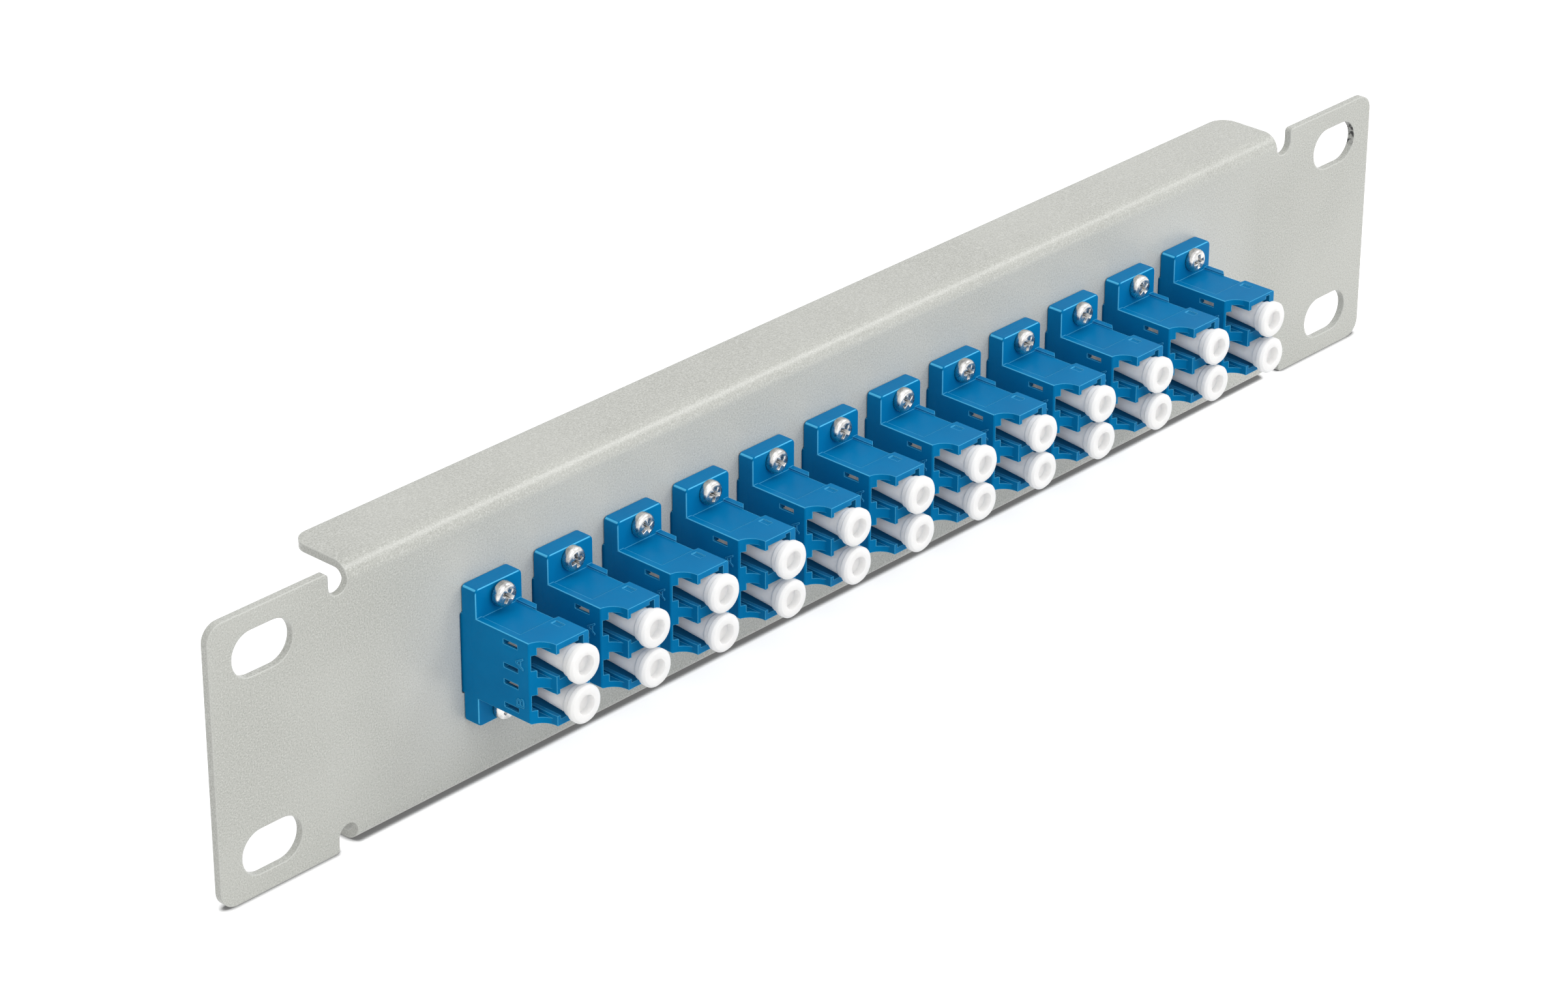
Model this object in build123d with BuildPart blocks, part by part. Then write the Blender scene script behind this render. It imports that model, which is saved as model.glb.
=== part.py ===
# Fibre patch panel for a 10 inch rack, one unit high, with twelve duplex couplers.
# Millimetres. The origin is the middle of the four ear slots on the rear face of the ears.
# X runs along the panel, Y runs from the front to the back and Z is up.

import os

from build123d import *

os.makedirs("parts", exist_ok=True)

# Folded sheet panel
panel_width = 254.4
panel_height = 43.5
sheet = 1.2
bend_inside = 1.4
lip_depth = 11.6
lip_corner = 3.0
ear_width = 21.55
ear_corner = 2.7
ear_inner_corner = 0.6
relief_width = 3.5
relief_depth = 3.9

# Oblong slots for the rack screws
slot_spacing_x = 235.4
slot_spacing_z = 30.5
slot_length = 10.9
slot_height = 7.0

# Row of couplers
coupler_count = 12
coupler_pitch = 14.0
cutout_clearance_x = 0.25
cutout_clearance_z = 0.1
cutout_corner = 0.5

# Coupler flange and its two fixing screws
flange_width = 9.1
flange_height = 21.7
flange_thickness = 3.0
flange_corner = 0.8
flange_edge = 0.4
screw_spacing = 18.0
screw_size = 2.0
screw_clearance = 0.1
screw_length = 8.0
screw_head_width = 4.0
screw_head_height = 1.7
screw_head_rim = 0.7
proud_screw = 0.5
nut_width = 4.0
nut_thickness = 1.6
nut_bore_clearance = 0.02

# Moulded body in front of the flange, measured from the face of the panel
body_left = 4.55
body_right = 4.1
body_height = 12.8
body_edge = 0.35
wall_reach = 13.3
hood_reach = 16.35
hood_left = 2.2
scallop_bow = 0.75

# Two plug bays in each half
port_pitch = 6.25
port_offset = 0.72
bay_height = 4.65
bay_right = 3.05
pad_inner = 3.4
latch_skin = 0.35
latch_height = 2.4
shoulder_left = 2.25
shoulder_right = 1.6
shoulder_height = 0.6
shoulder_depth = 5.25
pocket_length = 2.8
corner_relief_width = 0.95
corner_relief_height = 0.5
window_height = 0.75
window_offset = 1.85

# Raised rail and stepped corner along the right side of the front body
rail_length = 4.0
rail_rise = 0.15
rail_bevel = 0.85
step_length = 3.7
step_width = 0.9
step_drop = 1.0
recess_margin = 1.1
recess_length = 7.6
recess_depth = 0.15
notch_left = 1.8
notch_width = 1.0
notch_start = 8.3
notch_length = 1.8

# Holder with two tubes for the ceramic sleeves
holder_thickness = 1.0
holder_width = 6.6
holder_height = 11.0
holder_clearance = 0.05
tube_outside = 2.6
tube_reach = 5.0
sleeve_outside = 1.62
sleeve_inside = 1.25
sleeve_length = 6.8
sleeve_slit = 0.3
sleeve_clearance = 0.04

# Dust caps
cap_head_diameter = 5.8
cap_head_length = 1.35
cap_head_edge = 0.35
cap_head_bevel = 0.3
cap_collar_diameter = 5.0
cap_collar_length = 0.85
cap_gap = 0.65
cap_neck_diameter = 4.5
cap_tip_diameter = 3.6
cap_taper_length = 6.1
cap_bore_clearance = 0.05
cap_dimple_diameter = 3.0
cap_dimple_depth = 1.3
cap_tip_clearance = 0.4

# Places that follow from the sizes above
bend_outside = bend_inside + sheet
ear_inner = panel_width / 2 - ear_width
lip_end = ear_inner - relief_width
ear_centre = (panel_width / 2 + lip_end) / 2
cutout_width = 2 * (body_left + cutout_clearance_x)
cutout_height = body_height + 2 * cutout_clearance_z
parting = flange_thickness / 2
body_width = body_left + body_right
body_centre = (body_right - body_left) / 2
bay_width = bay_right + pad_inner
bay_centre = (bay_right - pad_inner) / 2
latch_left = body_left - latch_skin
bay_start = flange_thickness
pocket_front = hood_reach - shoulder_depth
recess_middle = flange_thickness + recess_length / 2
notch_middle = flange_thickness + notch_start + notch_length / 2
coupler_places = [coupler_pitch * (i - (coupler_count - 1) / 2) for i in range(coupler_count)]


def face_plane(reach):
    """A plane that looks forward, at a reach in front of the face of the panel."""
    return Plane.XZ.offset(sheet + reach)


# The panel is one sheet: a flat face with an ear at each end, and a lip folded back
# along the top and the bottom between the reliefs.
with BuildPart() as panel:
    with BuildSketch(Plane.XZ) as blank:
        Rectangle(2 * lip_end, panel_height - 2 * bend_outside)
        with Locations((-ear_centre, 0), (ear_centre, 0)):
            Rectangle(panel_width / 2 - lip_end, panel_height)
        fillet(blank.vertices().group_by(Axis.X)[0], ear_corner)
        fillet(blank.vertices().group_by(Axis.X)[-1], ear_corner)
        with GridLocations(2 * lip_end + relief_width, panel_height, 2, 2):
            SlotOverall(2 * relief_depth, relief_width, rotation=90, mode=Mode.SUBTRACT)
        inner_corners = blank.vertices().filter_by(
            lambda v: abs(abs(v.X) - ear_inner) < 0.01 and abs(v.Y) > panel_height / 2 - 0.01
        )
        fillet(inner_corners, ear_inner_corner)
    extrude(amount=sheet)
    with BuildSketch(Plane.YZ) as fold_outside:
        with Locations((lip_depth / 2 - sheet, 0)):
            Rectangle(lip_depth, panel_height)
        fillet(fold_outside.vertices().group_by(Axis.X)[0], bend_outside)
    extrude(amount=lip_end, both=True)
    with BuildSketch(Plane.YZ) as fold_inside:
        with Locations((lip_depth / 2, 0)):
            Rectangle(lip_depth, panel_height - 2 * sheet)
        fillet(fold_inside.vertices().group_by(Axis.X)[0], bend_inside)
    extrude(amount=lip_end, both=True, mode=Mode.SUBTRACT)
    fillet(panel.edges().filter_by(Axis.Z).group_by(Axis.Y)[-1], lip_corner)
    with BuildSketch(Plane.XZ) as punched:
        with GridLocations(slot_spacing_x, slot_spacing_z, 2, 2):
            SlotOverall(slot_length, slot_height)
        with GridLocations(coupler_pitch, 0, coupler_count, 1):
            RectangleRounded(cutout_width, cutout_height, cutout_corner)
        with GridLocations(coupler_pitch, screw_spacing, coupler_count, 2):
            Circle(screw_size / 2 + screw_clearance)
    extrude(amount=sheet, mode=Mode.SUBTRACT)
panel.part.label = "panel"
export_step(panel.part, "parts/panel.step")


# One half of a coupler: half of the flange and a body with two plug bays, one above the
# other. The latch of each plug lies on the left, between two shoulders.
with BuildPart() as half_shell:
    with BuildSketch(face_plane(parting)):
        RectangleRounded(flange_width, flange_height, flange_corner)
    extrude(amount=parting)
    fillet(half_shell.faces().sort_by(Axis.Y)[0].edges(), flange_edge)
    with BuildSketch(face_plane(parting)):
        with Locations((body_centre, 0)):
            Rectangle(body_width, body_height)
    extrude(amount=hood_reach - parting)
    wall_tip = (-body_left, -sheet - wall_reach)
    hood_tip = (-hood_left, -sheet - hood_reach)
    with BuildSketch(Plane.XY.offset(-body_height / 2)) as scallop:
        with BuildLine():
            SagittaArc(wall_tip, hood_tip, scallop_bow)
            Polyline(hood_tip, (-body_left, hood_tip[1]), wall_tip)
        make_face()
    extrude(amount=body_height, mode=Mode.SUBTRACT)
    # The outside edges of the body are rounded, with the front edge of the left wall
    body_reach = -sheet - flange_thickness
    long_edges = half_shell.edges().filter_by(Axis.Y).filter_by(lambda e: e.center().Y < body_reach)
    wall_edge = half_shell.edges().filter_by(Axis.Z).filter_by(lambda e: e.length > body_height - 0.01)
    wall_edge = wall_edge.filter_by_position(Axis.X, -body_left - 0.01, -body_left + 0.01)
    fillet(long_edges + wall_edge, body_edge)
    # The mouth of each bay, with the latch channel and the shoulders
    with BuildSketch(face_plane(pocket_front)) as mouth:
        with Locations((bay_centre, -port_pitch / 2), (bay_centre, port_pitch / 2)):
            Rectangle(bay_width, bay_height)
        latch_centre = -(latch_left + pad_inner) / 2
        with Locations((latch_centre, -port_pitch / 2), (latch_centre, port_pitch / 2)):
            Rectangle(latch_left - pad_inner, latch_height)
        shoulder_centre = -(shoulder_left + shoulder_right) / 2
        with Locations((shoulder_centre, -port_pitch / 2), (shoulder_centre, port_pitch / 2)):
            with GridLocations(0, bay_height - shoulder_height, 1, 2):
                Rectangle(shoulder_left - shoulder_right, shoulder_height, mode=Mode.SUBTRACT)
        outer_z = port_pitch / 2 + bay_height / 2 + corner_relief_height / 2
        relief_x = bay_right - corner_relief_width / 2
        with Locations((relief_x, -outer_z), (relief_x, outer_z)):
            Rectangle(corner_relief_width, corner_relief_height)
    extrude(amount=shoulder_depth, mode=Mode.SUBTRACT)
    # The pocket behind the shoulders, where the latch springs out
    with BuildSketch(face_plane(pocket_front - pocket_length)) as pocket:
        with Locations(((bay_right - latch_left) / 2, -port_pitch / 2)):
            Rectangle(bay_right + latch_left, bay_height)
        with Locations(((bay_right - latch_left) / 2, port_pitch / 2)):
            Rectangle(bay_right + latch_left, bay_height)
    extrude(amount=pocket_length, mode=Mode.SUBTRACT)
    # The rest of each bay down to its floor
    with BuildSketch(face_plane(bay_start)):
        with Locations((bay_centre, -port_pitch / 2), (bay_centre, port_pitch / 2)):
            Rectangle(bay_width, bay_height)
        with Locations((latch_centre, -port_pitch / 2), (latch_centre, port_pitch / 2)):
            Rectangle(latch_left - pad_inner, latch_height)
    extrude(amount=pocket_front - pocket_length - bay_start, mode=Mode.SUBTRACT)
    # Two small windows beside each latch
    with BuildSketch(Plane.YZ.offset(-body_left)) as windows:
        window_y = -sheet - pocket_front + pocket_length / 2
        for port_z in (-port_pitch / 2, port_pitch / 2):
            with Locations((window_y, port_z - window_offset), (window_y, port_z + window_offset)):
                Rectangle(pocket_length, window_height)
    extrude(amount=latch_skin, mode=Mode.SUBTRACT)
    # The seat of the sleeve holder and the holes for its tubes
    with BuildSketch(face_plane(parting)):
        with Locations((port_offset, 0)):
            Rectangle(holder_width, holder_height)
    extrude(amount=holder_thickness / 2, mode=Mode.SUBTRACT)
    with BuildSketch(face_plane(parting)):
        with Locations((port_offset, -port_pitch / 2), (port_offset, port_pitch / 2)):
            Circle(tube_outside / 2 + holder_clearance)
        with Locations((0, -screw_spacing / 2), (0, screw_spacing / 2)):
            Circle(screw_size / 2 + screw_clearance)
    extrude(amount=bay_start - parting, mode=Mode.SUBTRACT)

# The front half also has, along its right side, a low rail beside the flange with a
# bevelled end and then a stepped corner. Its top and its underside are recessed between
# the flange and the thicker front of the body, which has one small notch of its own.
step_start = flange_thickness + rail_length
step_end = step_start + step_length
right_edge = body_right - step_width
with BuildPart() as front_half:
    add(half_shell.part)
    for side in (-1, 1):
        with BuildSketch(Plane.XY.offset(side * (body_height / 2 - step_drop))) as rail:
            with BuildLine():
                Polyline(
                    (right_edge, -sheet - flange_thickness),
                    (body_right, -sheet - flange_thickness),
                    (body_right, -sheet - step_start + rail_bevel),
                    (right_edge, -sheet - step_start),
                    close=True,
                )
            make_face()
        extrude(amount=side * (step_drop + rail_rise))
        with BuildSketch(Plane.XY.offset(side * (body_height / 2 - step_drop))) as step:
            with BuildLine():
                Polyline(
                    (right_edge, -sheet - step_start),
                    (body_right, -sheet - step_start + rail_bevel),
                    (body_right, -sheet - step_end),
                    (right_edge, -sheet - step_end),
                    close=True,
                )
            make_face()
        extrude(amount=side * step_drop, mode=Mode.SUBTRACT)
        with BuildSketch(Plane.XY.offset(side * (body_height / 2 - recess_depth))) as recess:
            with Locations(((right_edge - body_left + recess_margin) / 2, -sheet - recess_middle)):
                Rectangle(right_edge + body_left - recess_margin, recess_length)
            with Locations((notch_left + notch_width / 2, -sheet - notch_middle)):
                Rectangle(notch_width, notch_length)
        extrude(amount=side * recess_depth, mode=Mode.SUBTRACT)

front_housing = front_half.part
rear_housing = half_shell.part.mirror(Plane.XZ.offset(sheet + parting))

# A holder carries the two ceramic sleeves between the halves of each coupler.
with BuildPart() as holder:
    with BuildSketch(face_plane(parting - holder_thickness / 2)):
        with Locations((port_offset, 0)):
            Rectangle(holder_width - 2 * holder_clearance, holder_height - 2 * holder_clearance)
    extrude(amount=holder_thickness)
    with BuildSketch(face_plane(parting)):
        with Locations((port_offset, -port_pitch / 2), (port_offset, port_pitch / 2)):
            Circle(tube_outside / 2)
    extrude(amount=tube_reach, both=True)
    with BuildSketch(face_plane(parting)):
        with Locations((port_offset, -port_pitch / 2), (port_offset, port_pitch / 2)):
            Circle(sleeve_outside / 2 + sleeve_clearance)
    extrude(amount=tube_reach, both=True, mode=Mode.SUBTRACT)

# The ceramic sleeve is a thin tube with a slit along it.
with BuildPart() as sleeve:
    with BuildSketch(face_plane(parting)):
        with Locations((port_offset, port_pitch / 2)):
            Circle(sleeve_outside / 2)
            Circle(sleeve_inside / 2, mode=Mode.SUBTRACT)
        with Locations((port_offset, port_pitch / 2 + sleeve_outside / 2)):
            Rectangle(sleeve_slit, sleeve_outside, mode=Mode.SUBTRACT)
    extrude(amount=sleeve_length / 2, both=True)

# A dust cap is turned in one profile: a tapered stem that slides over the tube of the
# holder, a collar, and a round head with a dimple. The profile lies in the plane through
# its axis.
cap_collar_back = hood_reach + cap_gap
cap_head_back = cap_collar_back + cap_collar_length
cap_head_front = cap_head_back + cap_head_length
cap_tip = bay_start + cap_tip_clearance
cap_bore = tube_outside / 2 + cap_bore_clearance
cap_bore_end = parting + tube_reach + cap_tip_clearance
with BuildPart() as cap:
    with BuildSketch(Plane.XY) as cap_profile:
        with BuildLine():
            Polyline(
                (0, -sheet - cap_bore_end),
                (cap_bore, -sheet - cap_bore_end),
                (cap_bore, -sheet - cap_tip),
                (cap_tip_diameter / 2, -sheet - cap_tip),
                (cap_tip_diameter / 2, -sheet - cap_collar_back + cap_taper_length),
                (cap_neck_diameter / 2, -sheet - cap_collar_back),
                (cap_collar_diameter / 2, -sheet - cap_collar_back),
                (cap_collar_diameter / 2, -sheet - cap_head_back),
                (cap_head_diameter / 2 - cap_head_bevel, -sheet - cap_head_back),
                (cap_head_diameter / 2, -sheet - cap_head_back - cap_head_bevel),
                (cap_head_diameter / 2, -sheet - cap_head_front + cap_head_edge),
                (cap_head_diameter / 2 - cap_head_edge, -sheet - cap_head_front),
                (cap_dimple_diameter / 2, -sheet - cap_head_front),
                (cap_dimple_diameter / 2, -sheet - cap_head_front + cap_dimple_depth),
                (0, -sheet - cap_head_front + cap_dimple_depth),
                close=True,
            )
        make_face()
    revolve(axis=Axis.Y)

# Pan head screw, and its hexagon nut behind the panel
with BuildPart() as screw:
    with BuildSketch(face_plane(flange_thickness)):
        Circle(screw_head_width / 2)
    extrude(amount=screw_head_height)
    fillet(screw.edges().group_by(Axis.Y)[0], screw_head_height - screw_head_rim)
    with BuildSketch(face_plane(flange_thickness)):
        Circle(screw_size / 2)
    extrude(amount=-screw_length)

with BuildPart() as nut:
    with BuildSketch(Plane.XZ) as nut_outline:
        RegularPolygon(nut_width / 2, 6, major_radius=False)
        Circle(screw_size / 2 + nut_bore_clearance, mode=Mode.SUBTRACT)
    extrude(amount=-nut_thickness)

# The couplers stand side by side along the row, each with its own pair of shells and caps.
rear_cap = cap.part.mirror(Plane.XZ.offset(sheet + parting))
for number, place in enumerate(coupler_places, start=1):
    name = f"coupler_{number:02d}"
    front_shell = Pos(place, 0, 0) * front_housing
    front_shell.label = f"{name}_front_housing"
    export_step(front_shell, f"parts/{name}_front_housing.step")
    rear_shell = Pos(place, 0, 0) * rear_housing
    rear_shell.label = f"{name}_rear_housing"
    export_step(rear_shell, f"parts/{name}_rear_housing.step")
    for port, port_z in (("a", port_pitch / 2), ("b", -port_pitch / 2)):
        front_cap = Pos(place + port_offset, 0, port_z) * cap.part
        front_cap.label = f"{name}_cap_{port}"
        export_step(front_cap, f"parts/{name}_cap_{port}.step")

port_rows = (-port_pitch / 2, port_pitch / 2)
screw_rows = (-screw_spacing / 2, screw_spacing / 2)
groups = {
    "rear_dust_caps": [Pos(x + port_offset, 0, z) * rear_cap for x in coupler_places for z in port_rows],
    "sleeve_holders": [Pos(x, 0, 0) * holder.part for x in coupler_places],
    "split_sleeves": [Pos(x, 0, z) * sleeve.part for x in coupler_places for z in (-port_pitch, 0)],
    "fixing_nuts": [Pos(x, 0, z) * nut.part for x in coupler_places for z in screw_rows],
}
screws = []
for x in coupler_places:
    for z in screw_rows:
        standing_out = proud_screw if x == coupler_places[0] and z > 0 else 0
        screws.append(Pos(x, -standing_out, z) * screw.part)
groups["fixing_screws"] = screws
for label, pieces in groups.items():
    group = Compound(label=label, children=pieces)
    export_step(group, f"parts/{label}.step")
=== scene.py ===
import math
import random

import bpy
from mathutils import Euler, Matrix, Vector


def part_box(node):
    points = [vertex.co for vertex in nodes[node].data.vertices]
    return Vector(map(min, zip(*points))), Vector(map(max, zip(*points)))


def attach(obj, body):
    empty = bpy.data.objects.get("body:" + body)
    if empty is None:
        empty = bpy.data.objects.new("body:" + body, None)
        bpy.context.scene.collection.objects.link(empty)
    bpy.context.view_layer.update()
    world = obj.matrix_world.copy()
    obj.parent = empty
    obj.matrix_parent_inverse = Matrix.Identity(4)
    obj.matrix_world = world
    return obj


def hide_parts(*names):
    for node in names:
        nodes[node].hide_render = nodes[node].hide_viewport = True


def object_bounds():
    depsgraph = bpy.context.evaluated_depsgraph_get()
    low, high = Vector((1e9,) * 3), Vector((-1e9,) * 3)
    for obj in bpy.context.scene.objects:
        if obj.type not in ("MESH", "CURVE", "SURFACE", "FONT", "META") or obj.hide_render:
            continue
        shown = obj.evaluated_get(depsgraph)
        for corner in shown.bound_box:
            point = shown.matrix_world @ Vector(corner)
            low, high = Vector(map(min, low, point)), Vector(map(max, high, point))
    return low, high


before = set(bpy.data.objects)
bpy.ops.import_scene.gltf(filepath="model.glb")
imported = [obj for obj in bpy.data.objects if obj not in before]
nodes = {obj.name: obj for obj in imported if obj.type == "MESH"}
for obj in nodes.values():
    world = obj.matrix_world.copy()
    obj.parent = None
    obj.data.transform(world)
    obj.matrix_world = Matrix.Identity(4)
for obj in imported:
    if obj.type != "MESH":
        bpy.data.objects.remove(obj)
cad_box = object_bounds()
MM = 0.001

# Folded sheet panel
# One sheet of 1.2 mm steel, punched, folded along two edges and powder coated in light grey.
# The coat has a fine orange peel, and it is chipped inside the upper right slot.
panel_grey = (0.423, 0.428, 0.396, 1.0)
panel_grey_light = (0.540, 0.547, 0.512, 1.0)
panel_grey_dark = (0.343, 0.348, 0.318, 1.0)
panel_edge_highlight = (0.70, 0.71, 0.67, 1.0)
panel_glare = (0.700, 0.695, 0.668, 1.0)
glare_half_length = 98 * MM
glare_half_height = 21 * MM
glare_fade = 18 * MM
glare_share = 0.5
chip_dark = (0.03, 0.03, 0.028, 1.0)
chip_steel = (0.36, 0.36, 0.34, 1.0)
coat_rounding = 0.35 * MM
coat_bump = 0.06 * MM
speckle_scale = 4200.0
cloud_scale = 45.0
peel_scale = 1300.0
flake_scale = 1500.0
chip_bump = 0.5 * MM
chip_centre_z = 16.6 * MM
chip_half_height = 2.9 * MM
chip_fade = 0.7 * MM
slot_end_x = 122.2 * MM
slot_end_depth = 1.5 * MM


def new_material(name):
    """A node material with an empty tree, and its Principled shader wired to the output."""
    material = bpy.data.materials.new(name)
    material.use_nodes = True
    tree = material.node_tree
    tree.nodes.clear()
    output = tree.nodes.new("ShaderNodeOutputMaterial")
    shader = tree.nodes.new("ShaderNodeBsdfPrincipled")
    tree.links.new(shader.outputs["BSDF"], output.inputs["Surface"])
    return material, tree, shader


def paint(piece, material):
    """Gives a piece its finish."""
    piece.data.materials.clear()
    piece.data.materials.append(material)


def place_pattern(tree):
    """The coordinates of the object, in metres, which every pattern follows."""
    return tree.nodes.new("ShaderNodeTexCoord").outputs["Object"]


def noise(tree, where, scale, detail=2.0, roughness=0.5):
    """A noise texture over those coordinates. Its scale is in features for each metre."""
    texture = tree.nodes.new("ShaderNodeTexNoise")
    texture.inputs["Scale"].default_value = scale
    texture.inputs["Detail"].default_value = detail
    texture.inputs["Roughness"].default_value = roughness
    tree.links.new(where, texture.inputs["Vector"])
    return texture.outputs["Fac"]


def ramp(tree, value, low, high, to_low=0.0, to_high=1.0):
    """The value stretched from low..high to another range, and clamped there."""
    stretch = tree.nodes.new("ShaderNodeMapRange")
    for name, number in (("From Min", low), ("From Max", high), ("To Min", to_low), ("To Max", to_high)):
        stretch.inputs[name].default_value = number
    tree.links.new(value, stretch.inputs["Value"])
    return stretch.outputs["Result"]


def blend_colours(tree, share, first, second):
    """A mix of two colours or colour sockets by a share from 0 to 1."""
    mix = tree.nodes.new("ShaderNodeMix")
    mix.data_type = "RGBA"
    for socket, colour in ((mix.inputs["A"], first), (mix.inputs["B"], second)):
        if isinstance(colour, tuple):
            socket.default_value = colour
        else:
            tree.links.new(colour, socket)
    tree.links.new(share, mix.inputs["Factor"])
    return mix.outputs["Result"]


def maths(tree, operation, first, second):
    """One sum of two sockets or numbers."""
    step = tree.nodes.new("ShaderNodeMath")
    step.operation = operation
    for socket, value in zip(step.inputs, (first, second)):
        if isinstance(value, (int, float)):
            socket.default_value = value
        else:
            tree.links.new(value, socket)
    return step.outputs["Value"]


def product(tree, *factors):
    """The product of two or more sockets or numbers."""
    total = factors[0]
    for factor in factors[1:]:
        total = maths(tree, "MULTIPLY", total, factor)
    return total


def separate(tree, vector):
    """The x, y and z of a vector socket."""
    step = tree.nodes.new("ShaderNodeSeparateXYZ")
    tree.links.new(vector, step.inputs["Vector"])
    return step.outputs["X"], step.outputs["Y"], step.outputs["Z"]


def distance_from(tree, value, middle):
    """How far a value is from a number, on either side."""
    return maths(tree, "ABSOLUTE", maths(tree, "SUBTRACT", value, middle), 0.0)


def bump(tree, height, strength, distance, normal):
    """A bump of that height over another normal."""
    step = tree.nodes.new("ShaderNodeBump")
    step.inputs["Strength"].default_value = strength
    step.inputs["Distance"].default_value = distance
    tree.links.new(height, step.inputs["Height"])
    tree.links.new(normal, step.inputs["Normal"])
    return step.outputs["Normal"]


def make_rounded_edge():
    """Node group: the normal of softly rounded edges, and a mask that is 1 along them."""
    group = bpy.data.node_groups.new("rounded_edge", "ShaderNodeTree")
    radius = group.interface.new_socket("Radius", in_out="INPUT", socket_type="NodeSocketFloat")
    radius.default_value = 0.2 * MM
    group.interface.new_socket("Normal", in_out="OUTPUT", socket_type="NodeSocketVector")
    group.interface.new_socket("Edge", in_out="OUTPUT", socket_type="NodeSocketFloat")
    start = group.nodes.new("NodeGroupInput")
    end = group.nodes.new("NodeGroupOutput")
    bevel = group.nodes.new("ShaderNodeBevel")
    bevel.samples = 6
    face = group.nodes.new("ShaderNodeNewGeometry")
    compare = group.nodes.new("ShaderNodeVectorMath")
    compare.operation = "DOT_PRODUCT"
    group.links.new(start.outputs["Radius"], bevel.inputs["Radius"])
    group.links.new(bevel.outputs["Normal"], compare.inputs[0])
    group.links.new(face.outputs["Normal"], compare.inputs[1])
    mask = ramp(group, compare.outputs["Value"], 0.99, 0.88)
    group.links.new(bevel.outputs["Normal"], end.inputs["Normal"])
    group.links.new(mask, end.inputs["Edge"])
    return group


rounded_edge = make_rounded_edge()


def soften_edges(tree, radius):
    """Places the rounded edge group with its own radius."""
    step = tree.nodes.new("ShaderNodeGroup")
    step.node_tree = rounded_edge
    step.inputs["Radius"].default_value = radius
    return step.outputs["Normal"], step.outputs["Edge"]


def make_powder_coat():
    """Semi-gloss grey powder coat with orange peel, fine speckle and one chipped slot wall."""
    material, tree, shader = new_material("grey_powder_coat")
    where = place_pattern(tree)
    rounded, edge = soften_edges(tree, coat_rounding)
    speckle = noise(tree, where, speckle_scale, 2.5, 0.6)
    cloud = noise(tree, where, cloud_scale, 2.0, 0.5)
    peel = noise(tree, where, peel_scale, 1.5, 0.45)
    colour = blend_colours(tree, ramp(tree, speckle, 0.3, 0.5), panel_grey_dark, panel_grey)
    colour = blend_colours(tree, ramp(tree, speckle, 0.54, 0.64), colour, panel_grey_light)
    colour = blend_colours(tree, ramp(tree, cloud, 0.35, 0.65, 0.0, 0.25), colour, panel_grey_light)
    # Painted highlight: the rounded edges of the sheet are painted paler
    colour = blend_colours(tree, ramp(tree, edge, 0.0, 1.0, 0.0, 0.8), colour, panel_edge_highlight)
    # The coat is painted paler round the row of couplers, a painted sheen where the light glances off it
    x, _, z = separate(tree, where)
    along = ramp(tree, distance_from(tree, x, 0.0), glare_half_length, glare_half_length - glare_fade)
    up = ramp(tree, distance_from(tree, z, 0.0), glare_half_height, glare_half_height - glare_fade)
    colour = blend_colours(tree, product(tree, along, up, glare_share), colour, panel_glare)
    # The chips lie on the inner wall of the slot, at its outer end
    facing_x = separate(tree, tree.nodes.new("ShaderNodeNewGeometry").outputs["Normal"])[0]
    on_wall = ramp(tree, facing_x, -0.2, -0.6)
    at_end = ramp(tree, x, slot_end_x - slot_end_depth, slot_end_x)
    off_middle = distance_from(tree, z, chip_centre_z)
    at_height = ramp(tree, off_middle, chip_half_height, chip_half_height - chip_fade)
    in_slot = product(tree, on_wall, at_end, at_height)
    flakes = noise(tree, where, flake_scale, 4.0, 0.7)
    chipped = product(tree, in_slot, ramp(tree, flakes, 0.42, 0.46))
    hollow = product(tree, in_slot, ramp(tree, flakes, 0.49, 0.53))
    colour = blend_colours(tree, chipped, colour, chip_steel)
    colour = blend_colours(tree, hollow, colour, chip_dark)
    tree.links.new(colour, shader.inputs["Base Color"])
    rough = ramp(tree, speckle, 0.3, 0.7, 0.24, 0.36)
    rough = maths(tree, "ADD", rough, product(tree, chipped, 0.25))
    tree.links.new(rough, shader.inputs["Roughness"])
    shader.inputs["Specular IOR Level"].default_value = 0.45
    lumps = maths(tree, "ADD", peel, product(tree, speckle, 0.3))
    normal = bump(tree, lumps, 0.5, coat_bump, rounded)
    normal = bump(tree, product(tree, in_slot, flakes), 0.9, chip_bump, normal)
    tree.links.new(normal, shader.inputs["Normal"])
    return material


paint(nodes["panel"], make_powder_coat())

# Coupler housings
# Each coupler is two moulded shells of blue plastic, welded together at the middle of the
# flange. The moulding is smooth and slightly glossy, with a painted highlight along its edges.
coupler_count = 12
coupler_names = [f"coupler_{number:02d}" for number in range(1, coupler_count + 1)]
moulded_blue = (0.001, 0.175, 0.405, 1.0)
moulded_blue_deep = (0.0008, 0.155, 0.368, 1.0)
blue_edge_highlight = (0.090, 0.480, 0.780, 1.0)
blue_sheen = (0.04, 0.60, 1.0, 1.0)
blue_grain_scale = 4500.0
blue_rounding = 0.17 * MM
grain_bump = 0.02 * MM
weld_y = -2.7 * MM
weld_reach = 0.65 * MM
flange_front_y = -4.2 * MM
flange_fade = 0.1 * MM


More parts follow.
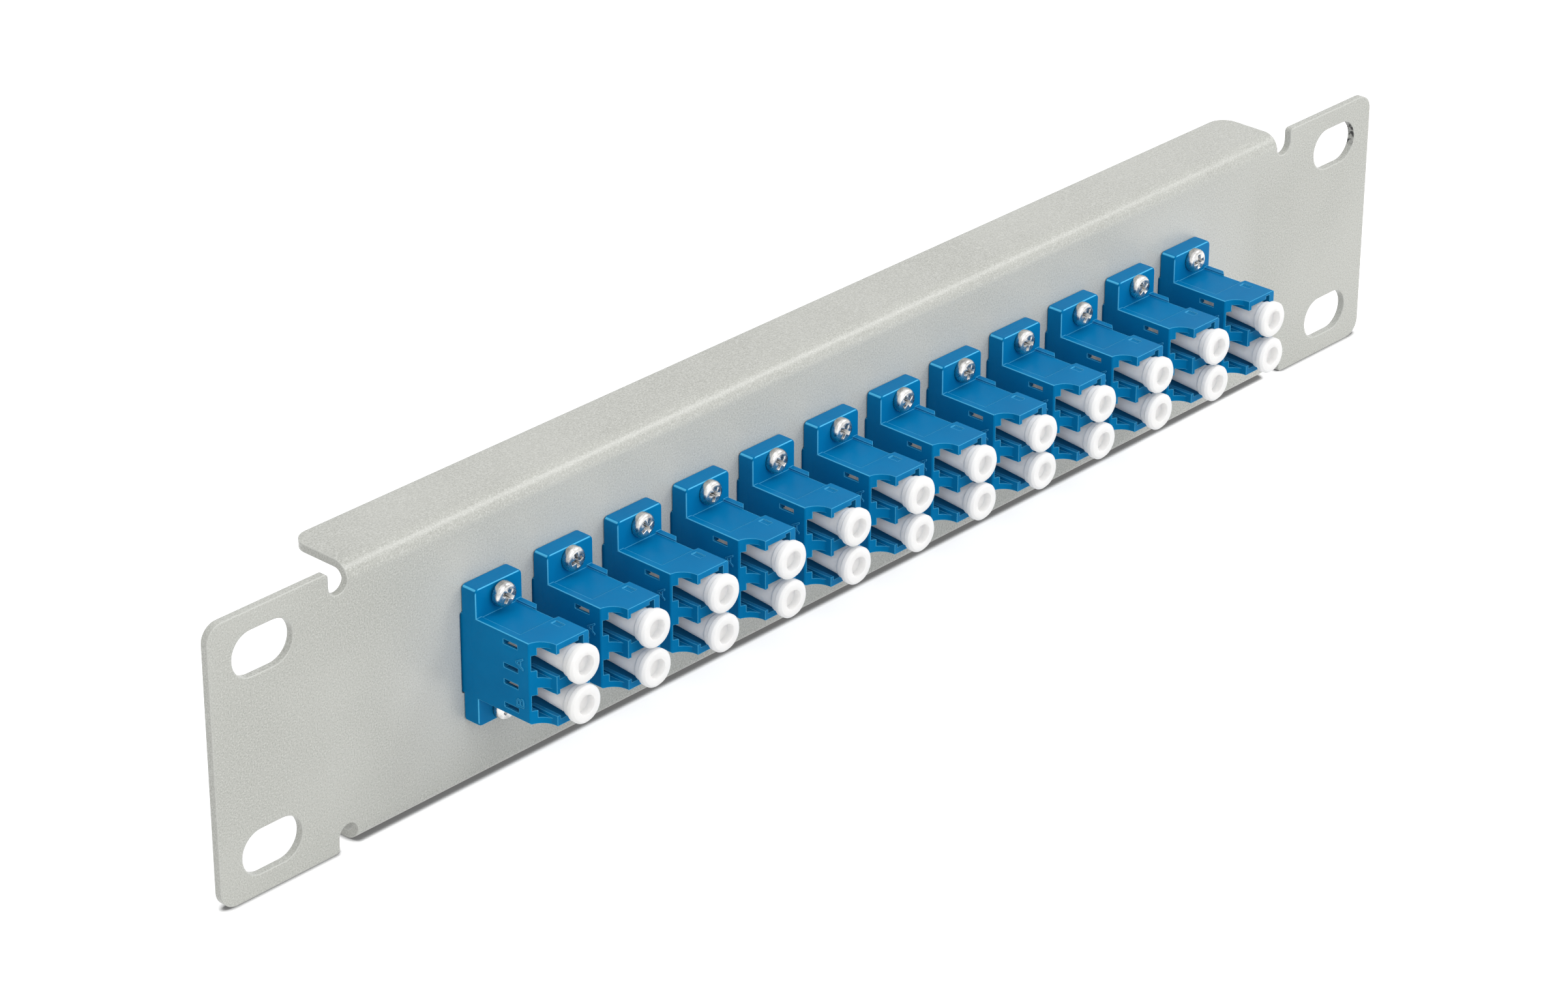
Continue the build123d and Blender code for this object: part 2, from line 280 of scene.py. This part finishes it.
def make_moulded_grain():
    """Node group: the faint grain that a moulding tool leaves, as a height and a tone."""
    group = bpy.data.node_groups.new("moulded_grain", "ShaderNodeTree")
    scale = group.interface.new_socket("Scale", in_out="INPUT", socket_type="NodeSocketFloat")
    scale.default_value = 5000.0
    group.interface.new_socket("Height", in_out="OUTPUT", socket_type="NodeSocketFloat")
    group.interface.new_socket("Tone", in_out="OUTPUT", socket_type="NodeSocketFloat")
    start = group.nodes.new("NodeGroupInput")
    end = group.nodes.new("NodeGroupOutput")
    where = place_pattern(group)
    fine = group.nodes.new("ShaderNodeTexNoise")
    fine.inputs["Detail"].default_value = 3.0
    group.links.new(where, fine.inputs["Vector"])
    group.links.new(start.outputs["Scale"], fine.inputs["Scale"])
    broad = noise(group, where, 160.0, 2.0)
    group.links.new(fine.outputs["Fac"], end.inputs["Height"])
    group.links.new(ramp(group, broad, 0.3, 0.7), end.inputs["Tone"])
    return group


moulded_grain = make_moulded_grain()


def grain(tree, scale):
    """Places the moulded grain group with its own scale."""
    step = tree.nodes.new("ShaderNodeGroup")
    step.node_tree = moulded_grain
    step.inputs["Scale"].default_value = scale
    return step.outputs["Height"], step.outputs["Tone"]


def vector_maths(tree, operation, first, second=None):
    """One sum of one or two vector sockets."""
    step = tree.nodes.new("ShaderNodeVectorMath")
    step.operation = operation
    tree.links.new(first, step.inputs[0])
    if second is not None:
        tree.links.new(second, step.inputs[1])
    return step.outputs["Vector"]


def blend_normals(tree, share, first, second):
    """A mix of two normals by a share from 0 to 1."""
    mix = tree.nodes.new("ShaderNodeMix")
    mix.data_type = "VECTOR"
    for name, socket in (("Factor", share), ("A", first), ("B", second)):
        tree.links.new(socket, mix.inputs[name])
    return mix.outputs["Result"]


def make_blue_plastic():
    """Blue moulded plastic, with a painted highlight along its rounded edges. The welded seam is flush.
    """
    material, tree, shader = new_material("blue_plastic")
    height, tone = grain(tree, blue_grain_scale)
    rounded, edge = soften_edges(tree, blue_rounding)
    y = separate(tree, place_pattern(tree))[1]
    off_weld = distance_from(tree, y, weld_y)
    clear = ramp(tree, off_weld, weld_reach, 1.2 * weld_reach)
    face = tree.nodes.new("ShaderNodeNewGeometry")
    normal = blend_normals(tree, clear, face.outputs["Normal"], rounded)
    # The normal turns sharply in the middle of a fillet, and a painted highlight is laid there as a pale
    # line. That holds for all fillets of the flange and for those along the body, but not for the bowed
    # sides
    steep = vector_maths(tree, "MULTIPLY", vector_maths(tree, "MULTIPLY", normal, normal), normal)
    turn_x, turn_y, turn_z = separate(tree, vector_maths(tree, "ABSOLUTE", normal))
    on_flange = ramp(tree, y, flange_front_y - 1.5 * flange_fade, flange_front_y - 0.5 * flange_fade)
    lengthwise = product(tree, turn_x, turn_z)
    across = product(tree, turn_y, maths(tree, "MAXIMUM", turn_x, turn_z), on_flange)
    oblique = ramp(tree, maths(tree, "MAXIMUM", lengthwise, across), 0.43, 0.485)
    sharpen = maths(tree, "MAXIMUM", on_flange, ramp(tree, turn_y, 0.35, 0.25))
    normal = blend_normals(tree, sharpen, normal, vector_maths(tree, "NORMALIZE", steep))
    # Painted highlight: the rounded edges and the middles of the fillets are painted paler
    painted_edge_highlight = maths(tree, "MAXIMUM", product(tree, ramp(tree, edge, 0.0, 0.8), clear), oblique)
    colour = blend_colours(tree, tone, moulded_blue_deep, moulded_blue)
    colour = blend_colours(tree, painted_edge_highlight, colour, blue_edge_highlight)
    tree.links.new(colour, shader.inputs["Base Color"])
    tree.links.new(ramp(tree, tone, 0.0, 1.0, 0.34, 0.42), shader.inputs["Roughness"])
    shader.inputs["Specular IOR Level"].default_value = 0.1
    shader.inputs["Specular Tint"].default_value = blue_sheen
    tree.links.new(bump(tree, height, 0.25, grain_bump, normal), shader.inputs["Normal"])
    return material


blue_plastic = make_blue_plastic()
for coupler in coupler_names:
    for half in ("front_housing", "rear_housing"):
        paint(nodes[f"{coupler}_{half}"], blue_plastic)

# Weld bands
# Where the two shells of a coupler are welded together, the molten plastic fills the seam
# of the flange. It is a thin blue band round the flange, flush with its four sides.
flange_width = 9.1 * MM
flange_height = 21.7 * MM
flange_corner = 0.8 * MM
weld_back_y = -2.28 * MM
weld_front_y = -3.12 * MM
weld_width = 0.5 * MM
weld_proud = 0.006 * MM


def deselect_all():
    """Leaves edit mode with nothing selected, so that the next operator acts on its own mesh."""
    if bpy.context.object is not None and bpy.context.object.mode != "OBJECT":
        bpy.ops.object.mode_set(mode="OBJECT")
    bpy.ops.object.select_all(action="DESELECT")


def apply_all(piece):
    """Applies the place, turn and scale of a piece to its mesh, and then its modifiers."""
    deselect_all()
    piece.select_set(True)
    bpy.context.view_layer.objects.active = piece
    bpy.ops.object.transform_apply(location=True, rotation=True, scale=True)
    for modifier in list(piece.modifiers):
        bpy.ops.object.modifier_apply(modifier=modifier.name)


def copy_mesh(piece, name):
    """A copy of a finished piece with its own mesh, in the scene."""
    twin = bpy.data.objects.new(name, piece.data.copy())
    bpy.context.scene.collection.objects.link(twin)
    return twin


def make_block(width, depth, height, corner):
    """A block at the origin whose four edges along y are rounded."""
    deselect_all()
    bpy.ops.mesh.primitive_cube_add(size=1.0, location=(0, 0, 0))
    block = bpy.context.object
    block.scale = (width, depth, height)
    apply_all(block)
    bpy.ops.object.mode_set(mode="EDIT")
    bpy.ops.mesh.select_mode(type="EDGE")
    bpy.ops.mesh.select_all(action="DESELECT")
    bpy.ops.object.mode_set(mode="OBJECT")
    for line in block.data.edges:
        first, second = (block.data.vertices[index].co for index in line.vertices)
        line.select = abs(first.y - second.y) > depth / 2
    bpy.ops.object.mode_set(mode="EDIT")
    bpy.ops.mesh.bevel(offset=corner, segments=8)
    bpy.ops.object.mode_set(mode="OBJECT")
    return block


def make_weld_band():
    """The band round the seam of a flange, for a coupler at the origin."""
    depth = weld_back_y - weld_front_y
    outside = 2 * weld_proud
    inside = -2 * weld_width
    band = make_block(flange_width + outside, depth, flange_height + outside, flange_corner)
    cutter = make_block(flange_width + inside, 3 * depth, flange_height + inside, flange_corner / 2)
    cut = band.modifiers.new("opening", "BOOLEAN")
    cut.operation = "DIFFERENCE"
    cut.solver = "EXACT"
    cut.object = cutter
    band.location = (0, (weld_back_y + weld_front_y) / 2, 0)
    cutter.location = band.location
    bpy.context.view_layer.update()
    apply_all(band)
    bpy.data.objects.remove(cutter)
    deselect_all()
    band.select_set(True)
    bpy.ops.object.shade_smooth_by_angle(angle=math.radians(30))
    return band


weld_band = make_weld_band()
for coupler in coupler_names:
    low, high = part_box(f"{coupler}_rear_housing")
    piece = copy_mesh(weld_band, f"{coupler}_weld_band")
    piece.data.transform(Matrix.Translation(((low.x + high.x) / 2, 0, 0)))
    paint(piece, blue_plastic)
    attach(piece, "panel_assembly")
bpy.data.objects.remove(weld_band)

# Port marks
# The upper port of each coupler is marked A and the lower one B, in small raised letters
# moulded on the left wall. Their tops point to the panel.
letter_height = 1.5 * MM
letter_rise = 0.12 * MM
letter_sunk = 0.03 * MM
letter_y = -13.45 * MM
letter_z = {"A": 1.75 * MM, "B": -4.4 * MM}
letter_widen = 1.35
letter_stroke = 0.02 * MM
capital_share = 0.7


def make_letter(letter):
    """One raised letter, lying on the plane of the left wall of a coupler at the origin."""
    deselect_all()
    bpy.ops.object.text_add(location=(0, 0, 0))
    text = bpy.context.object
    text.data.body = letter
    text.data.size = letter_height / capital_share
    text.data.extrude = (letter_rise + letter_sunk) / 2
    text.data.resolution_u = 4
    text.data.offset = letter_stroke
    bpy.ops.object.convert(target="MESH")
    piece = bpy.context.object
    upright = Matrix(((0, 0, -1), (0, 1, 0), (1, 0, 0))).to_4x4()
    piece.data.transform(upright @ Matrix.Diagonal((letter_widen, 1, 1, 1)))
    return piece


for letter, base_z in letter_z.items():
    pattern = make_letter(letter)
    for coupler in coupler_names:
        low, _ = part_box(f"{coupler}_front_housing")
        mark = copy_mesh(pattern, f"{coupler}_mark_{letter.lower()}")
        wall_x = low.x - (letter_rise - letter_sunk) / 2
        mark.data.transform(Matrix.Translation((wall_x, letter_y, base_z)))
        paint(mark, blue_plastic)
        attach(mark, "panel_assembly")
    bpy.data.objects.remove(pattern)

# Dust caps
# Soft white plastic caps, moulded in one piece: a tapered stem in the port, a collar and a
# round head with a dimple. Twenty-four close the front ports and as many the rear ones.
cap_white = (0.850, 0.838, 0.822, 1.0)
cap_white_deep = (0.820, 0.806, 0.790, 1.0)
cap_edge_highlight = (0.880, 0.875, 0.865, 1.0)
cap_stem_painted_light = (0.990, 0.950, 0.910, 1.0)
cap_grain_scale = 3500.0
cap_rounding = 0.14 * MM
cap_scatter = 4.0 * MM
stem_reach = 15.6 * MM
stem_fade = 3.0 * MM
stem_painted_glow = 0.10


def make_cap_plastic():
    """White, slightly translucent plastic, with a painted highlight along its edges and painted light on
    the stem in the port.
    """
    material, tree, shader = new_material("white_cap_plastic")
    height, tone = grain(tree, cap_grain_scale)
    rounded, edge = soften_edges(tree, cap_rounding)
    colour = blend_colours(tree, tone, cap_white_deep, cap_white)
    # Painted highlight: the rounded edges are painted paler
    colour = blend_colours(tree, ramp(tree, edge, 0.0, 1.0, 0.0, 0.5), colour, cap_edge_highlight)
    # Painted light and a painted glow: inside the port the stem is painted paler and warmer and glows
    # faintly, in place of the light the translucent stem carries in from the head
    y = separate(tree, place_pattern(tree))[1]
    in_port = ramp(tree, distance_from(tree, y, weld_y), stem_reach, stem_reach - stem_fade)
    colour = blend_colours(tree, in_port, colour, cap_stem_painted_light)
    shader.inputs["Emission Color"].default_value = cap_stem_painted_light
    tree.links.new(product(tree, in_port, stem_painted_glow), shader.inputs["Emission Strength"])
    tree.links.new(colour, shader.inputs["Base Color"])
    tree.links.new(ramp(tree, tone, 0.0, 1.0, 0.42, 0.5), shader.inputs["Roughness"])
    shader.inputs["Specular IOR Level"].default_value = 0.3
    shader.inputs["Subsurface Weight"].default_value = 0.8
    shader.inputs["Subsurface Radius"].default_value = (1.0, 1.0, 1.0)
    shader.inputs["Subsurface Scale"].default_value = cap_scatter
    tree.links.new(bump(tree, height, 0.2, grain_bump, rounded), shader.inputs["Normal"])
    return material


cap_plastic = make_cap_plastic()
for coupler in coupler_names:
    for port in ("a", "b"):
        paint(nodes[f"{coupler}_cap_{port}"], cap_plastic)
paint(nodes["rear_dust_caps"], cap_plastic)

# Sleeve holders and split sleeves
# Between the shells of each coupler an off-white holder carries two ceramic sleeves. They
# show only where a cap is pulled out of its port.
holder_tone = (0.62, 0.62, 0.58, 1.0)
holder_tone_pale_and_highlight = (0.72, 0.72, 0.68, 1.0)
sleeve_tone = (0.80, 0.80, 0.77, 1.0)
sleeve_tone_pale_and_highlight = (0.88, 0.88, 0.86, 1.0)
inner_grain_scale = 6000.0
inner_rounding = 0.08 * MM
inner_bump = 0.01 * MM


def make_inner_finish(name, first, second, rough):
    """A plain moulded or ground finish for the pieces inside the couplers."""
    material, tree, shader = new_material(name)
    height, tone = grain(tree, inner_grain_scale)
    rounded, edge = soften_edges(tree, inner_rounding)
    colour = blend_colours(tree, tone, first, second)
    # The paler tone is also painted along the rounded edges as a painted highlight
    tree.links.new(blend_colours(tree, edge, colour, second), shader.inputs["Base Color"])
    tree.links.new(ramp(tree, tone, 0.0, 1.0, rough, rough + 0.1), shader.inputs["Roughness"])
    tree.links.new(bump(tree, height, 0.15, inner_bump, rounded), shader.inputs["Normal"])
    return material


holder_plastic = make_inner_finish("holder_plastic", holder_tone, holder_tone_pale_and_highlight, 0.45)
zirconia = make_inner_finish("zirconia", sleeve_tone, sleeve_tone_pale_and_highlight, 0.18)
paint(nodes["sleeve_holders"], holder_plastic)
paint(nodes["split_sleeves"], zirconia)

# Fixing screws
# M2 pan head machine screws with a cross recess, cold formed and nickel plated. One above
# and one below each coupler hold its flange against the panel.
screw_spacing = 18.0 * MM
head_seat_y = flange_front_y
head_radius = 1.9 * MM
head_height = 1.4 * MM
head_rim = 0.7 * MM
shank_radius = 1.0 * MM
shank_end_y = 3.8 * MM
thread_pitch = 0.4 * MM
thread_depth = 0.22 * MM
thread_start = 1.5 * MM
head_crown = 0.05 * MM
crown_share = 0.4
recess_span = 3.3 * MM
recess_width = 0.85 * MM
recess_depth = 1.1 * MM
recess_taper = 0.4
head_edge = 0.06 * MM
rounding_steps = 6
shank_tip = 0.3 * MM
tip_share = 0.7
proud_screw = 0.5 * MM
proud_number = 2
nickel = (0.74, 0.73, 0.71, 1.0)
nickel_shade = (0.40, 0.395, 0.39, 1.0)
nickel_painted_shade = (0.05, 0.05, 0.05, 1.0)
nickel_mark_scale = 2400.0
nickel_cloud_scale = 700.0
nickel_rounding = 0.1 * MM
nickel_bump = 0.03 * MM
hollow_reach = 0.5 * MM


def make_nickel():
    """Bright nickel plate, with fine marks of handling and painted shade in its hollows."""
    material, tree, shader = new_material("nickel_plate")
    where = place_pattern(tree)
    marks = noise(tree, where, nickel_mark_scale, 4.0, 0.65)
    clouds = noise(tree, where, nickel_cloud_scale, 2.0)
    rounded = soften_edges(tree, nickel_rounding)[0]
    colour = blend_colours(tree, ramp(tree, clouds, 0.3, 0.6), nickel_shade, nickel)
    # Painted shade: hollows such as the cross recess are painted nearly black
    hollow = tree.nodes.new("ShaderNodeAmbientOcclusion")
    hollow.samples = 6
    hollow.inputs["Distance"].default_value = hollow_reach
    dark = ramp(tree, hollow.outputs["AO"], 0.75, 0.35)
    colour = blend_colours(tree, dark, colour, nickel_painted_shade)
    tree.links.new(colour, shader.inputs["Base Color"])
    shader.inputs["Metallic"].default_value = 1.0
    tree.links.new(ramp(tree, marks, 0.3, 0.7, 0.16, 0.34), shader.inputs["Roughness"])
    tree.links.new(bump(tree, marks, 0.3, nickel_bump, rounded), shader.inputs["Normal"])
    return material


def select_faces(piece, wanted):
    """Enters edit mode with just the wanted faces of a piece selected."""
    deselect_all()
    piece.select_set(True)
    bpy.context.view_layer.objects.active = piece
    bpy.ops.object.mode_set(mode="EDIT")
    bpy.ops.mesh.select_all(action="DESELECT")
    bpy.ops.object.mode_set(mode="OBJECT")
    for face in piece.data.polygons:
        face.select = wanted(face)
    bpy.ops.object.mode_set(mode="EDIT")
    bpy.ops.mesh.select_mode(type="FACE")


def extrude_to(rise, widen):
    """Extrudes the selected round face along z and scales it about the axis."""
    bpy.ops.mesh.extrude_region_move(TRANSFORM_OT_translate={"value": (0, 0, rise)})
    bpy.ops.transform.resize(value=(widen, widen, 1.0))


def make_recess_arm(turn):
    """One tapered arm of the cross recess, as a cutter."""
    deselect_all()
    bpy.ops.mesh.primitive_cube_add(size=1.0, location=(0, 0, head_height), rotation=(0, 0, turn))
    arm = bpy.context.object
    arm.scale = (recess_span, recess_width, 2 * recess_depth)
    apply_all(arm)
    select_faces(arm, lambda face: face.normal.z < -0.9)
    bpy.ops.transform.resize(value=(recess_taper, recess_taper, 1.0))
    bpy.ops.object.mode_set(mode="OBJECT")
    return arm


def make_screw():
    """A whole screw, head up, with the seat of its head on the plane z = 0."""
    deselect_all()
    bpy.ops.mesh.primitive_cylinder_add(vertices=32, radius=head_radius, depth=head_rim,
                                        location=(0, 0, head_rim / 2))
    piece = bpy.context.object
    apply_all(piece)
    select_faces(piece, lambda face: face.normal.z > 0.9)
    rounding = head_height - head_rim - head_crown
    z, r = 0.0, head_radius
    for step in range(1, rounding_steps + 1):
        turn = step / rounding_steps * math.pi / 2
        next_z, next_r = rounding * math.sin(turn), head_radius - rounding * (1 - math.cos(turn))
        extrude_to(next_z - z, next_r / r)
        z, r = next_z, next_r
    extrude_to(head_crown, crown_share)
    bpy.ops.object.mode_set(mode="OBJECT")
    arms = [make_recess_arm(0.0), make_recess_arm(math.pi / 2)]
    for arm in arms:
        cut = piece.modifiers.new("recess", "BOOLEAN")
        cut.operation = "DIFFERENCE"
        cut.solver = "EXACT"
        cut.object = arm
    edge = piece.modifiers.new("edges", "BEVEL")
    edge.width = head_edge
    edge.segments = 2
    edge.limit_method = "ANGLE"
    edge.angle_limit = math.radians(35)
    apply_all(piece)
    for arm in arms:
        bpy.data.objects.remove(arm)
    # The shank grows from the underside, with a groove for each turn of the thread
    select_faces(piece, lambda face: face.normal.z < -0.99 and face.center.z < 0.01 * MM)
    bpy.ops.mesh.inset(thickness=head_radius - head_edge - shank_radius)
    plain = -head_seat_y - thread_start
    threaded = shank_end_y - head_seat_y - plain - shank_tip
    extrude_to(-plain, 1.0)
    turns = round(threaded / thread_pitch)
    root = 1 - thread_depth / shank_radius
    for groove in range(turns):
        extrude_to(-threaded / turns / 2, root)
        extrude_to(-threaded / turns / 2, 1 / root)
    extrude_to(-shank_tip, tip_share)
    bpy.ops.object.mode_set(mode="OBJECT")
    deselect_all()
    piece.select_set(True)
    bpy.ops.object.shade_smooth_by_angle(angle=math.radians(38))
    return piece


nickel_plate = make_nickel()
paint(nodes["fixing_screws"], nickel_plate)
screw = make_screw()
random.seed(12)
screw_number = 0
for coupler in coupler_names:
    low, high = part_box(f"{coupler}_front_housing")
    for row in (-1, 1):
        screw_number += 1
        piece = copy_mesh(screw, f"fixing_screw_{screw_number:02d}")
        stands_out = proud_screw if screw_number == proud_number else 0.0
        spin = Matrix.Rotation(random.uniform(0, math.pi / 2), 4, "Z")
        lay = Matrix.Rotation(math.pi / 2, 4, "X")
        seat = Vector(((low.x + high.x) / 2, head_seat_y - stands_out, row * screw_spacing / 2))
        piece.data.transform(Matrix.Translation(seat) @ lay @ spin)
        paint(piece, nickel_plate)
        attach(piece, "panel_assembly")
        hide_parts("fixing_screws")
bpy.data.objects.remove(screw)

# Fixing nuts
# Plain M2 hexagon nuts behind the panel, nickel plated like the screws.
paint(nodes["fixing_nuts"], nickel_plate)

# Floor, light and camera
# A plain white studio floor and backdrop with soft light from above, and the camera where
# the photograph was taken from: to the left of the panel and above it.
floor_z = cad_box[0].z
floor_size = 6.0
floor_white = (0.70, 0.70, 0.70, 1.0)
floor_shadow = (0.0, 0.0, 0.0, 1.0)
floor_glow = 0.65
contact_reach = 1.3 * MM
contact_dark = 0.16
sky_white = 1.0
sky_light = 0.86
camera_turn = math.radians(-47.31)
camera_height = math.radians(26.90)
camera_roll = math.radians(0.16)
camera_distance = 727.4 * MM
camera_aim = Vector((-8.30, 5.54, -4.63)) * MM
camera_lens = 111.1
seen_rays = ["Is Camera Ray", "Is Glossy Ray", "Is Transmission Ray"]


def ray_kind(tree, kinds):
    """1 for rays of any of these kinds, from Light Path, and 0 for others."""
    path = tree.nodes.new("ShaderNodeLightPath")
    total = path.outputs[kinds[0]]
    for kind in kinds[1:]:
        total = maths(tree, "MAXIMUM", total, path.outputs[kind])
    return total


deselect_all()
bpy.ops.mesh.primitive_plane_add(size=floor_size, location=(0, 0, floor_z))
floor = bpy.context.object
floor.name = "floor"
floor_paint, tree, shader = new_material("floor_white")
shader.inputs["Roughness"].default_value = 0.9
shader.inputs["Specular IOR Level"].default_value = 0.0
shader.inputs["Emission Color"].default_value = (1.0, 1.0, 1.0, 1.0)
contact = tree.nodes.new("ShaderNodeAmbientOcclusion")
contact.samples = 8
contact.inputs["Distance"].default_value = contact_reach
seen = ray_kind(tree, ["Is Camera Ray"])
mirrored = ray_kind(tree, seen_rays)
near = ramp(tree, contact.outputs["AO"], 0.5, 0.95, 1 - contact_dark, 0.0)
shade = product(tree, seen, near)
tree.links.new(blend_colours(tree, shade, floor_white, floor_shadow), shader.inputs["Base Color"])
glow = product(tree, maths(tree, "SUBTRACT", mirrored, shade), floor_glow)
tree.links.new(glow, shader.inputs["Emission Strength"])
floor.data.materials.append(floor_paint)

world = bpy.data.worlds.new("studio")
bpy.context.scene.world = world
world.use_nodes = True
tree = world.node_tree
tree.nodes.clear()
sky = tree.nodes.new("ShaderNodeBackground")
sky.inputs["Color"].default_value = (1.0, 1.0, 1.0, 1.0)
seen = ray_kind(tree, seen_rays)
tree.links.new(ramp(tree, seen, 0.0, 1.0, sky_light, sky_white), sky.inputs["Strength"])
output = tree.nodes.new("ShaderNodeOutputWorld")
tree.links.new(sky.outputs["Background"], output.inputs["Surface"])


def add_softbox(name, place, aim, width, power):
    """A square softbox at a place, turned towards a point."""
    lamp = bpy.data.lights.new(name, "AREA")
    lamp.shape = "SQUARE"
    lamp.size = width
    lamp.energy = power
    holder = bpy.data.objects.new(name, lamp)
    holder.location = place
    holder.rotation_euler = (Vector(aim) - Vector(place)).to_track_quat("-Z", "Y").to_euler()
    bpy.context.scene.collection.objects.link(holder)


add_softbox("key_softbox", (1.32, -0.99, 1.42), (-0.06, 0.0, 0.0), 0.75, 10.0)
add_softbox("top_softbox", (-0.30, -0.20, 2.0), (0.0, 0.0, 0.0), 1.6, 3.4)
add_softbox("fill_softbox", (-0.35, -1.75, 1.10), (0.0, 0.0, 0.0), 1.4, 14.0)

lens = bpy.data.cameras.new("camera")
lens.lens = camera_lens
lens.sensor_width = 36.0
lens.clip_start = 0.01
lens.clip_end = 20.0
camera = bpy.data.objects.new("camera", lens)
turn = (Euler((0, 0, camera_turn)).to_matrix()
        @ Euler((math.pi / 2 - camera_height, 0, 0)).to_matrix()
        @ Euler((0, 0, camera_roll)).to_matrix())
place = camera_aim + turn @ Vector((0, 0, camera_distance))
camera.matrix_world = Matrix.Translation(place) @ turn.to_4x4()
bpy.context.scene.collection.objects.link(camera)
bpy.context.scene.camera = camera
bpy.context.scene.view_settings.view_transform = "Standard"
